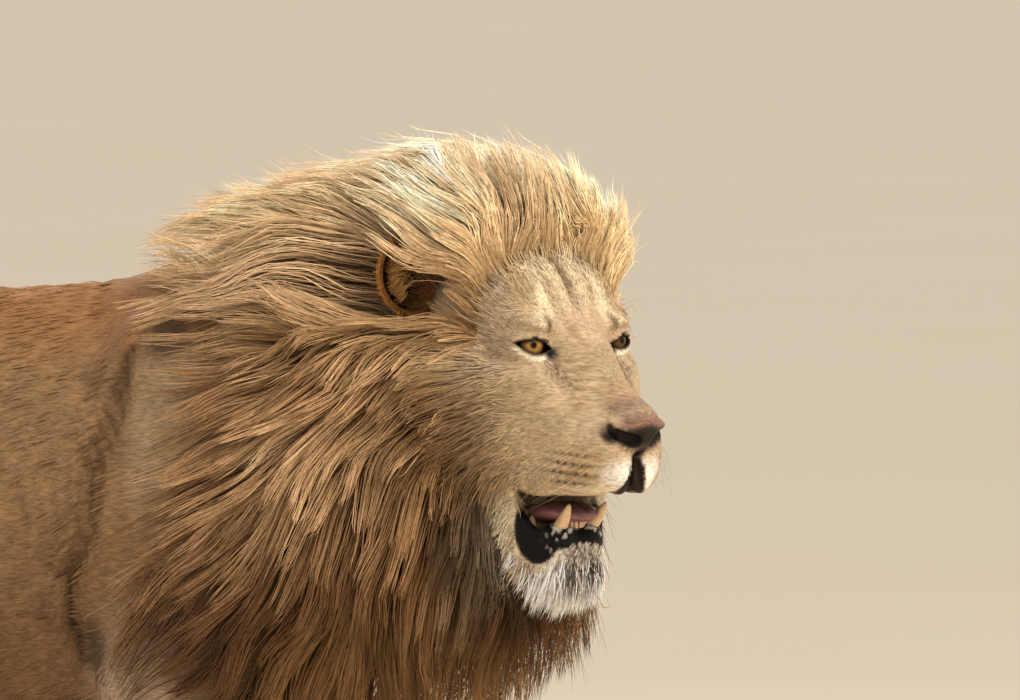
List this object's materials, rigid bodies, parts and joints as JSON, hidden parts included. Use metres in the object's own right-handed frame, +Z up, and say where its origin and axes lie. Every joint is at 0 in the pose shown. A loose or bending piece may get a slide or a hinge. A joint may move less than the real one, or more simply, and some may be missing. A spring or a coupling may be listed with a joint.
{
  "type": "lion",
  "caption": "Adult male lion with a full mane, standing still on four feet, head turned to its right, mouth a little open.",
  "frame": {"origin": "on the floor under the middle of the bounding box", "axes": "+X forward along the trunk, toward the chest; +Y to the lion's left; +Z up from the floor"},
  "size_m": [2.1758, 0.591, 1.2649],
  "materials": {
    "coat_short": "short tawny fur lying flat",
    "coat_pale": "short pale fur of face, inner legs and paws",
    "mane_hair": "long brown mane hair, paler at the crown",
    "tail_hair": "dark brown hair tuft",
    "eye": "wet amber eye",
    "mouth": "moist pink tongue"
  },
  "bodies": {
    "root": {"head": "coat_pale", "lower_jaw": "coat_pale", "tongue": "mouth", "eye_left": "eye", "eye_right": "eye", "ear_left": "coat_short", "ear_right": "coat_short", "mane_crown": "mane_hair", "mane_left": "mane_hair", "mane_right": "mane_hair", "mane_chest": "mane_hair", "trunk_front": "coat_short", "trunk_rear": "coat_short", "rump": "coat_short", "shoulder_left": "coat_short", "shoulder_right": "coat_short", "foreleg_left": "coat_pale", "foreleg_right": "coat_pale", "forepaw_left": "coat_pale", "forepaw_right": "coat_pale", "thigh_left": "coat_short", "thigh_right": "coat_short", "shank_left": "coat_short", "shank_right": "coat_short", "hindpaw_left": "coat_pale", "hindpaw_right": "coat_pale", "tail_base": "coat_short", "tail_middle": "coat_short", "tail_end": "coat_short", "tail_tuft": "tail_hair"}
  },
  "joints": []
}
